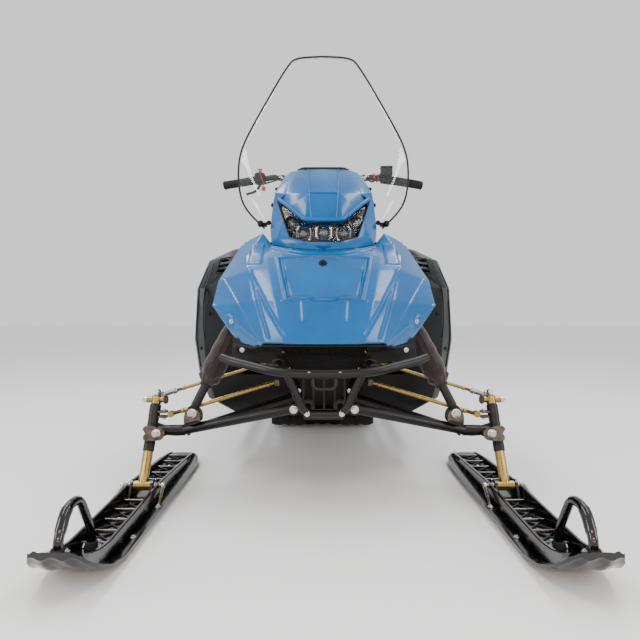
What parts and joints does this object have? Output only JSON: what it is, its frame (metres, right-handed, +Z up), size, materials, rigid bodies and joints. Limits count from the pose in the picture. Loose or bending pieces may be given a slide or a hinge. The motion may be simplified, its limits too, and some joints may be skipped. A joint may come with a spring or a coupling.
{
  "type": "utility snowmobile",
  "caption": "Utility snowmobile with steered front skis, faceted hood, tall clear windshield, long seat, cargo rack, tunnel and a rubber track with paddle lugs.",
  "frame": {"origin": "on the ground, below the middle of the whole machine's length and width", "axes": "+Z up; the machine faces -Y; +X is the rider's left"},
  "size_m": [1.235, 3.285, 1.522],
  "materials": {
    "blue_gloss_shell": "gloss blue moulding with a clear coat",
    "black_gloss_plastic": "gloss black moulding",
    "black_plastic": "matte black, lightly textured",
    "slate_plastic": "dark slate grey, satin",
    "clear_plastic": "clear sheet",
    "zinc_yellow_steel": "yellow zinc plating",
    "black_painted_steel": "satin black powder coat",
    "cast_grey": "grey-brown casting",
    "alloy_sheet": "bare sheet and extrusion",
    "rubber": "moulded black rubber",
    "cover_fabric": "woven black sleeve",
    "seat_vinyl": "coated upholstery cloth",
    "red_plastic": "gloss red"
  },
  "bodies": {
    "chassis": {"belly_pan": "black_plastic", "bogie_wheels_a": "black_plastic", "bogie_wheels_b": "black_plastic", "bulkhead": "black_painted_steel", "cargo_rack": "black_painted_steel", "console": "black_plastic", "drive_axle": "alloy_sheet", "engine_block": "cast_grey", "front_bumper": "black_painted_steel", "front_grille": "black_plastic", "fuel_tank": "black_plastic", "headlight_lens": "clear_plastic", "headlight_pod": "blue_gloss_shell", "headlight_unit": "black_gloss_plastic", "hood": "blue_gloss_shell", "instrument_housing": "black_plastic", "knuckle_left": "black_painted_steel", "knuckle_right": "black_painted_steel", "lower_arm_left": "black_painted_steel", "lower_arm_right": "black_painted_steel", "rear_bumper": "black_painted_steel", "rear_idler_wheels": "black_plastic", "running_board_left": "alloy_sheet", "running_board_right": "alloy_sheet", "seat_base": "black_plastic", "seat_cushion": "seat_vinyl", "shock_cover_left": "cover_fabric", "shock_cover_right": "cover_fabric", "shock_left": "black_painted_steel", "shock_right": "black_painted_steel", "side_panel_left": "slate_plastic", "side_panel_right": "slate_plastic", "skid_arm_front": "black_painted_steel", "skid_arm_rear": "black_painted_steel", "slide_rails": "alloy_sheet", "snow_flap": "rubber", "tail_lamp": "red_plastic", "track": "rubber", "tunnel": "alloy_sheet", "upper_link_left": "zinc_yellow_steel", "upper_link_right": "zinc_yellow_steel", "windshield": "clear_plastic"},
    "steering": {"handlebar": "black_painted_steel", "grip_left": "rubber", "grip_right": "rubber", "brake_assembly": "black_plastic", "throttle_assembly": "black_plastic"},
    "spindle_left": {"spindle_left": "zinc_yellow_steel"},
    "spindle_right": {"spindle_right": "zinc_yellow_steel"},
    "tie_rod_left": {"tie_rod_left": "zinc_yellow_steel"},
    "tie_rod_right": {"tie_rod_right": "zinc_yellow_steel"},
    "ski_left": {"ski_left": "black_gloss_plastic", "ski_handle_left": "rubber"},
    "ski_right": {"ski_right": "black_gloss_plastic", "ski_handle_right": "rubber"}
  },
  "joints": [
    {"name": "handlebar_steer", "type": "hinge", "parent": "chassis", "child": "steering", "pos_m": [0, -0.4825, 1.05], "axis": [0, 0.5, 0.866], "range_deg": [-28, 28]},
    {"name": "spindle_left_steer", "type": "hinge", "parent": "chassis", "child": "spindle_left", "pos_m": [0.535, -1.0575, 0.056], "axis": [-0.0738, 0.3319, 0.9404], "range_deg": [-25.5, 25.5]},
    {"name": "spindle_right_steer", "type": "hinge", "parent": "chassis", "child": "spindle_right", "pos_m": [-0.535, -1.0575, 0.056], "axis": [0.0738, 0.3319, 0.9404], "range_deg": [-25.5, 25.5]},
    {"name": "ski_left_pitch", "type": "hinge", "parent": "spindle_left", "child": "ski_left", "pos_m": [0.535, -1.0575, 0.056], "axis": [1, 0, 0], "range_deg": [-15, 15]},
    {"name": "ski_right_pitch", "type": "hinge", "parent": "spindle_right", "child": "ski_right", "pos_m": [-0.535, -1.0575, 0.056], "axis": [1, 0, 0], "range_deg": [-15, 15]},
    {"name": "tie_rod_left_swivel", "type": "hinge", "parent": "spindle_left", "child": "tie_rod_left", "pos_m": [0.5258, -0.8795, 0.2968], "axis": [0, 0, 1], "range_deg": [-25.5, 25.5]},
    {"name": "tie_rod_right_swivel", "type": "hinge", "parent": "spindle_right", "child": "tie_rod_right", "pos_m": [-0.5258, -0.8795, 0.2968], "axis": [0, 0, 1], "range_deg": [-25.5, 25.5]}
  ],
  "couplings": [
    {"joint": "spindle_left_steer", "follows": "handlebar_steer", "ratio": 0.9},
    {"joint": "spindle_right_steer", "follows": "handlebar_steer", "ratio": 0.9},
    {"joint": "tie_rod_left_swivel", "follows": "handlebar_steer", "ratio": -0.9},
    {"joint": "tie_rod_right_swivel", "follows": "handlebar_steer", "ratio": -0.9}
  ]
}
